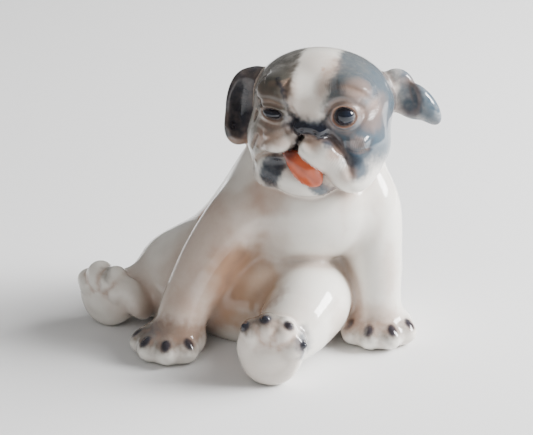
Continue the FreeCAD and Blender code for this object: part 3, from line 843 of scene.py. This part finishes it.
def paint_torso(p, paint):
    w = wobbled(p, 9.0, 1.2)
    lay_dabs(w, paint, TORSO_DABS)
    lay_strokes(w, paint, TORSO_SHADE_STROKES)
    lay(paint, "blush", 0.2 * soft_step(mottle(p, 24.0, 6) - 0.1))


# The near foot alone has a tinted sole, and a rim painted between two angles from its top.
SOLE_TINT = {"left_hind_leg": 0.2, "right_hind_leg": 0.0}
SOLE_RIM = {"left_hind_leg": (("olive", -54.0, 24.0), ("slate", 56.0, 104.0)), "right_hind_leg": ()}


def paint_sole(p, paint, name):
    """Painted shade in the clefts between an upturned foot's toes and along its arch, then its tint and
    its rim.
    """
    foot = HIND_FEET[name]
    q = p - vector(foot.centre)
    ahead, u = (q @ way for way in level_ways(foot.heading))
    front = patch(1.2 - ahead, 2.0)
    flat = np.stack([u, q[:, 2]], 1)
    close = patch(length(q) - 1.6 * foot.up, 3.0)
    # painted shade in the clefts between the toe pads
    for first, second in zip(foot.angles[:-1], foot.angles[1:]):
        turn = math.radians(0.5 * (first + second))
        way = np.array((math.sin(turn), math.cos(turn)))
        lay(paint, "blush", 0.8 * front * close * brush(flat, (2.4 * way, 7.0 * way), 0.35, 1.8))
    lay(paint, "blush", SOLE_TINT[name] * front * close)
    # painted shade along the arch round the main pad
    arch = [(3.0 * math.sin(a), 2.2 * math.cos(a)) for a in np.linspace(-1.2, 1.2, 6)]
    lay(paint, "blush", 0.4 * front * close * brush(flat, arch, 0.2, 1.6))
    rim = patch(foot.up - 1.0 - length(flat), 2.0) * close * patch(-3.5 - ahead, 3.0)
    angle = np.degrees(np.arctan2(u, q[:, 2]))
    for pigment, start, end in SOLE_RIM[name]:
        middle, half = 0.5 * (start + end), 0.5 * (end - start)
        amount = 0.85 * rim * patch(np.abs(angle - middle) - half, 14.0)
        paint["blush"] = paint["blush"] * (1.0 - 0.7 * amount)
        lay(paint, pigment, amount)


LEG_DABS = {
    "right_foreleg": (
        ("slate", 0.6, (-22, -16.6, 6.4), (2.6, 2.6, 2.4), 2.6),
        ("olive", 0.5, (-23.8, -14, 6), (2.4, 2.6, 2.4), 2.6),
        ("olive", 0.5, (-17, -18.6, 6.2), (1.6, 2, 2), 2),
        ("blush", 0.4, (-17.5, -16, 10), (6, 5, 7), 5),
        ("olive", 0.8, (-20, -16.5, 6.6), (8.5, 6.5, 3.8), 3.6),
    ),
    "left_foreleg": (
        ("blush", 0.3, (31, -9.5, 19), (2, 4, 7), 3.5),
        ("tan", 0.3, (22.5, -6, 12), (2.4, 4, 8), 4),
        ("olive", 0.5, (27.6, -11.8, 5), (8, 4, 2.6), 2.8),
        ("blush", 0.5, (27, -10.5, 8), (7, 4, 3.4), 4),
    ),
    "left_hind_leg": (
        ("tan", 0.35, (2, -14, 14), (4, 5, 4), 5),
        ("blush", 0.3, (18.6, -18.6, 10), (2.6, 4, 5), 3.5),
    ),
    "right_hind_leg": (
        ("blush", 0.35, (-27, -3, 7), (3.6, 4, 3.6), 4),
        ("olive", 0.5, (-41.5, 0.5, 11.6), (1.2, 2, 1.4), 2),
        ("olive", 0.6, (-34.9, 0, 14), (1, 3, 1.8), 1.6),
    ),
}
# painted shade along the thigh's edge where it meets the belly
THIGH_EDGE = ((2.1, -19, 12.5), (4.8, -20, 15.8), (6.5, -18.5, 17.4))
THIGH_SHADE_STROKES = (("blush", 0.6, THIGH_EDGE, 0.8, 3.4), ("olive", 0.3, THIGH_EDGE, 0.8, 3.4))
TOE_SHADES = {  # how dark the tips of the toes and the claws are
    "right_foreleg": (0.65, 1.0), "left_foreleg": (0.5, 1.0),
    "left_hind_leg": (0.3, 1.0), "right_hind_leg": (0.3, 0.3),
}


def paint_leg(p, paint, name):
    w = wobbled(p, 4.0, 0.6)
    tip_shade, claw_shade = TOE_SHADES[name]
    toes = [toe[0] for toe in (flat_toes if name in FOREPAWS else upright_toes)(name)]
    lift = 2.2 if name in FOREPAWS else 0.0
    # painted shade: blush and olive darken the gaps between the toes
    for first, second in zip(toes[:-1], toes[1:]):
        between = 0.5 * (first + second) + vector((0.0, 0.0, lift))
        lay(paint, "blush", 0.7 * dab(w, between, (1.0, 1.2, 1.4), 2.4))
        lay(paint, "olive", 0.4 * dab(w, between, (1.2, 1.4, 1.4), 2.0))
    for claw, degrees in claw_places(name):
        tip = dab(w, claw, (1.9, 1.7, 1.4), 2.4)
        lay(paint, "olive", tip_shade * tip)
        lay(paint, "blush", 0.4 * tip)
    if name in HIND_FEET:
        paint_sole(w, paint, name)
    lay_dabs(w, paint, LEG_DABS[name])
    if name == "left_hind_leg":
        lay_strokes(w, paint, THIGH_SHADE_STROKES)
    dark = patch(claws(p, name) - 0.35, 0.7) * claw_shade
    lay(paint, "ink", 0.88 * dark)
    lay(paint, "slate", 0.95 * dark)


def paint_body(p, paint):
    """Torso, legs and tail are painted as one, so the colour runs across the joints."""
    paint_torso(p, paint)
    for name in (*FOREPAWS, *HIND_FEET):
        paint_leg(p, paint, name)


def paint_tongue(p, paint):
    q = seen_by_head(p)
    lay(paint, "rust", np.ones(len(p)))
    # painted shadow: ink darkens the top of the tongue where the lips shade it, and a darker line runs
    # along its furrow
    shade = 0.75 * dab(q, (-4.0, -13.0, -6.8), (2.2, 2.4, 1.8), 3.0)
    furrow = brush(q[:, ::2], ((-3.6, -7.4), (0.0, -9.6), (3.0, -12.2)), 0.2, 1.6)
    shade = np.maximum(shade, 0.35 * furrow)
    lay(paint, "ink", shade)


PAINTERS = {  # the other castings are painted by paint_body
    "head": paint_head, "right_ear": paint_right_ear, "left_ear": paint_left_ear, "tongue": paint_tongue,
}


FOLD_REACHES = (0.6, 1.3, 2.6)  # how far out from the skin a fold is felt for
FOLD_GAIN = 2.2


def crevices(points, normals):
    """How far each corner lies in a fold: nothing on open skin, one deep in a crease."""
    shade = np.zeros(len(points), np.float32)
    for reach in FOLD_REACHES:
        value = in_chunks(lambda p: clay(p)[0], points + reach * normals, SMALL_CHUNK)
        shade += np.clip(1.0 - value / reach, 0.0, 1.0) / len(FOLD_REACHES)
    return np.clip(FOLD_GAIN * shade, 0.0, 1.0)


HAIRY_SPOTS = (  # middle, half sizes
    ((11.6, -8, 6.2), (2.8, 5, 4)), ((4.8, -12, 8.4), (3.6, 4, 2.4)),
    ((9.6, -12, -3), (3.2, 5, 2.2)), ((7.4, -13, -6.8), (2.6, 5, 2.6)),
)


def hair(p, name):
    """The incised hair: how far across the lines each corner lies, and how deep they are."""
    if name == "head":
        q = seen_by_head(p)
        away = q - vector((LEFT_EYE[0], -12.0, LEFT_EYE[1]))
        round_eye = 9.0 * np.arctan2(away[:, 2], away[:, 0]) + 0.35 * length(away)
        return round_eye, np.max([dab(q, *spot, 1.6) for spot in HAIRY_SPOTS], axis=0)
    if name == "left_ear":
        return p[:, 0] - 0.6 * p[:, 2], 0.8 * dab(p, (32.0, -1.0, 60.0), (2.6, 4.0, 3.0), 1.6)
    return np.zeros(len(p)), np.zeros(len(p))


def paint_values(name, points, normals):
    """What the glaze reads at each corner of a piece, one row of numbers for each layer."""
    paint = {pigment: np.zeros(len(points), np.float32) for pigment in PIGMENTS}
    PAINTERS.get(name, paint_body)(points, paint)
    folds = crevices(points, normals)
    # painted shade: blush darkens the creases of every casting but the tongue, as deep as each corner
    # lies in a fold
    if name != "tongue":
        lay(paint, "blush", 0.45 * folds)
    paint["across"], paint["combed"] = hair(points, name)
    paint["bare"] = patch(points[:, 2] - 0.25, 0.3)
    paint["folds"] = folds
    return paint


STEPS = {"head": 0.3, "tongue": 0.3, "right_ear": 0.35, "left_ear": 0.35}  # grid spacing
BODY_STEP, QUICK_FACTOR = 0.45, 2.2


def build(name):
    step = STEPS.get(name, BODY_STEP) * 1.0
    values, low = grid_values(name, step)
    points, faces = skin(values, low, step)
    points = settle(points, name)
    points[:, 2] = np.maximum(points[:, 2], 0.0)
    normals = normals_of(points)
    flat = points[:, 2] < 0.02
    normals[flat] = (0, 0, -1)
    paint = paint_values(name, points, normals)
    mesh = bpy.data.meshes.new(name + "_glazed")
    mesh.vertices.add(len(points))
    mesh.vertices.foreach_set("co", ((points - MIDDLE) * MM).ravel())
    mesh.loops.add(faces.size)
    mesh.loops.foreach_set("vertex_index", faces.ravel())
    mesh.polygons.add(len(faces))
    mesh.polygons.foreach_set("loop_start", np.arange(0, faces.size, 4))
    mesh.update(calc_edges=True)
    mesh.validate()
    mesh.polygons.foreach_set("use_smooth", np.ones(len(mesh.polygons), bool))
    mesh.normals_split_custom_set_from_vertices(normals.astype(float))
    for layer, values in paint.items():
        attribute = mesh.attributes.new(layer, "FLOAT", "POINT")
        attribute.data.foreach_set("value", np.asarray(values, np.float32))
    piece = bpy.data.objects.new(name + "_glazed", mesh)
    bpy.context.scene.collection.objects.link(piece)
    return piece


# ------------------------------------------------------------------------ the glaze
WHITE, CREAM = (0.775, 0.75, 0.69), (0.73, 0.685, 0.625)  # the glazed clay, in clouds
BARE, FLECK = (0.62, 0.56, 0.48), (0.30, 0.22, 0.16)
# blush, olive and ink serve for the real pigments and also for painted shade
COLOURS = {  # linear colours of the underglaze pigments under clear glaze
    "blush": (0.36, 0.22, 0.155), "tan": (0.37, 0.215, 0.118), "olive": (0.040, 0.037, 0.030),
    "slate": (0.060, 0.092, 0.122), "ink": (0.005, 0.007, 0.015), "rust": (0.36, 0.12, 0.03),
}
SPRAYED = ("blush", "tan")  # laid on with a soft edge instead of a brush
TONGUE_COLOUR = (0.50, 0.095, 0.035)  # laid on the tongue in place of rust
HAIRS_PER_MM = 2.0
BUMP_STRENGTH, BUMP_HEIGHT = 0.35, 0.00006  # the height in metres
MM_PER_UNIT = 1000.0  # the texture coordinates are in metres
MIX_INPUTS, MIX_OUTPUT = (0, 6, 7), 2  # a mix node's factor, two colours and result


class Nodes:
    """Short hands for wiring up one material."""

    def __init__(self, name):
        self.material = bpy.data.materials.new(name)
        self.material.use_nodes = True
        self.tree = self.material.node_tree
        self.shader = self.tree.nodes["Principled BSDF"]
        self.place = self.add("ShaderNodeTexCoord").outputs["Object"]

    def add(self, kind, **settings):
        node = self.tree.nodes.new(kind)
        for key, value in settings.items():
            setattr(node, key, value)
        return node

    def wire(self, value, socket):
        if isinstance(value, bpy.types.NodeSocket):
            self.tree.links.new(value, socket)
        elif isinstance(value, tuple) and len(value) == 3 and socket.type == "RGBA":
            socket.default_value = (*value, 1.0)
        else:
            socket.default_value = value

    def maths(self, operation, a, b=0.0, c=0.0):
        node = self.add("ShaderNodeMath", operation=operation)
        for value, socket in zip((a, b, c), node.inputs):
            self.wire(value, socket)
        return node.outputs[0]

    def noise(self, size_mm, detail=3.0, rough=0.55):
        node = self.add("ShaderNodeTexNoise")
        node.inputs["Scale"].default_value = MM_PER_UNIT / size_mm
        node.inputs["Detail"].default_value = detail
        node.inputs["Roughness"].default_value = rough
        self.wire(self.place, node.inputs["Vector"])
        return node.outputs["Fac"]

    def layer(self, name):
        return self.add("ShaderNodeAttribute", attribute_name=name).outputs["Fac"]

    def mix(self, factor, a, b):
        node = self.add("ShaderNodeMix", data_type="RGBA")
        for value, number in zip((factor, a, b), MIX_INPUTS):
            self.wire(value, node.inputs[number])
        return node.outputs[MIX_OUTPUT]


def glaze(name, tongue=False):
    """Painted clay under a clear coat; every number it reads varies over the piece."""
    n = Nodes(name)
    cloud = n.noise(14.0, 2.0)
    grain = n.noise(1.1, 4.0, 0.65)
    fleck = n.noise(0.45, 2.0)
    colour = n.mix(n.maths("MULTIPLY", cloud, 0.5), WHITE, CREAM)
    colours = dict(COLOURS, rust=TONGUE_COLOUR) if tongue else COLOURS
    swing = n.maths("SUBTRACT", grain, 0.5)
    uneven = [n.maths("MULTIPLY", swing, amount) for amount in (2.2, 0.7)]
    for pigment in PIGMENTS:
        strength = n.layer(pigment)
        # the pigment lies unevenly: broken by the brush at its edges, solid in its middle
        open_edge = n.maths("MULTIPLY", strength, n.maths("SUBTRACT", 1.0, strength))
        broken = n.maths("MULTIPLY_ADD", uneven[pigment in SPRAYED], open_edge, strength)
        colour = n.mix(n.maths("MAXIMUM", n.maths("MINIMUM", broken, 1.0), 0.0), colour, colours[pigment])
    flecks = n.maths("MULTIPLY", n.maths("GREATER_THAN", fleck, 0.74), 0.25)
    finished = n.mix(n.layer("bare"), n.mix(flecks, colour, FLECK), BARE)
    n.wire(finished, n.shader.inputs["Base Color"])
    smooth = n.maths("MULTIPLY_ADD", n.noise(5.0, 3.0), 0.08, 0.06)
    duller = n.maths("MULTIPLY_ADD", n.layer("folds"), 0.1, smooth)
    rough = n.maths("MULTIPLY_ADD", n.layer("bare"), 0.65, duller)
    n.wire(rough, n.shader.inputs["Roughness"])
    n.shader.inputs["IOR"].default_value = 1.52
    n.shader.inputs["Specular IOR Level"].default_value = 0.25
    n.shader.inputs["Coat Weight"].default_value = 0.7
    n.shader.inputs["Coat Roughness"].default_value = 0.04
    relief = n.maths("MULTIPLY_ADD", n.noise(2.4, 2.0), 1.0, n.maths("MULTIPLY", n.noise(0.7, 2.0), 0.25))
    waver = n.maths("MULTIPLY_ADD", n.noise(1.6, 1.0), 0.5, n.layer("across"))
    lines = n.maths("SINE", n.maths("MULTIPLY", waver, HAIRS_PER_MM * 2 * math.pi))
    relief = n.maths("MULTIPLY_ADD", n.maths("MULTIPLY", lines, n.layer("combed")), 1.1, relief)
    dents = n.add("ShaderNodeBump")
    dents.inputs["Strength"].default_value = BUMP_STRENGTH
    dents.inputs["Distance"].default_value = BUMP_HEIGHT
    n.wire(relief, dents.inputs["Height"])
    for coat in ("Normal", "Coat Normal"):
        n.wire(dents.outputs[0], n.shader.inputs[coat])
    return n.material


SLOTS = {sub["node"]: sub["material_slot"] for sub in frame["record"]["subparts"]}
MATERIALS = {}
for name in NAMES:
    piece = build(name)
    if SLOTS[name] not in MATERIALS:
        MATERIALS[SLOTS[name]] = glaze(SLOTS[name], tongue=name == "tongue")
    piece.data.materials.append(MATERIALS[SLOTS[name]])
    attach(piece, "root")
    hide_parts(name)

# ----------------------------------------------------------- floor, light and camera
HALF_FLOOR = 1.5
corners = [(x * HALF_FLOOR, y * HALF_FLOOR, 0.0) for x, y in ((-1, -1), (1, -1), (1, 1), (-1, 1))]
ground = bpy.data.meshes.new("floor")
ground.from_pydata(corners, [], [(0, 1, 2, 3)])
floor = bpy.data.objects.new("floor", ground)
bpy.context.scene.collection.objects.link(floor)


def area(name, place, aim, size, power, mirrored=False):
    """A rectangular light; only a mirrored one shows in the glaze."""
    data = bpy.data.lights.new(name, "AREA")
    data.shape = "RECTANGLE"
    data.size, data.size_y = size
    data.energy = power
    lamp = bpy.data.objects.new(name, data)
    lamp.location = place
    lamp.visible_glossy = mirrored
    lamp.rotation_euler = (Vector(aim) - Vector(place)).to_track_quat("-Z", "Y").to_euler()
    bpy.context.scene.collection.objects.link(lamp)


area("window", (0.62, -0.02, 0.32), (0, 0, 0.04), (0.22, 0.22), 8.0, mirrored=True)
area("sky", (0.80, 0.10, 0.44), (0, 0, 0.03), (0.8, 0.8), 28.5)
area("fill", (-0.25, -0.60, 0.60), (0, 0, 0.03), (0.6, 0.6), 1.4)

ROOM_COLOUR, ROOM_STRENGTH = (1.0, 0.985, 0.965, 1), 0.27
world = bpy.data.worlds.new("studio")
bpy.context.scene.world = world
world.use_nodes = True
room = world.node_tree.nodes["Background"].inputs
room["Color"].default_value = ROOM_COLOUR
room["Strength"].default_value = ROOM_STRENGTH

ELEVATION, DISTANCE, TARGET = 22.0, 420.0, (2.7, 0.0, 28.2)  # degrees and millimetres
SENSOR, FOCAL, WIDTH = 36.0, 1806.0, 533  # millimetres, and the other two in dots
camera = bpy.data.objects.new("camera", bpy.data.cameras.new("camera"))
camera.data.sensor_width = SENSOR
camera.data.lens = FOCAL / WIDTH * SENSOR
tilt = math.radians(ELEVATION)
aim = (Vector(TARGET) - Vector(MIDDLE)) * MM
camera.location = aim + Vector((0, -math.cos(tilt), math.sin(tilt))) * DISTANCE * MM
camera.rotation_euler = (math.pi / 2 - tilt, 0, 0)
camera.data.clip_start, camera.data.clip_end = 0.01, 10
bpy.context.scene.collection.objects.link(camera)
bpy.context.scene.camera = camera
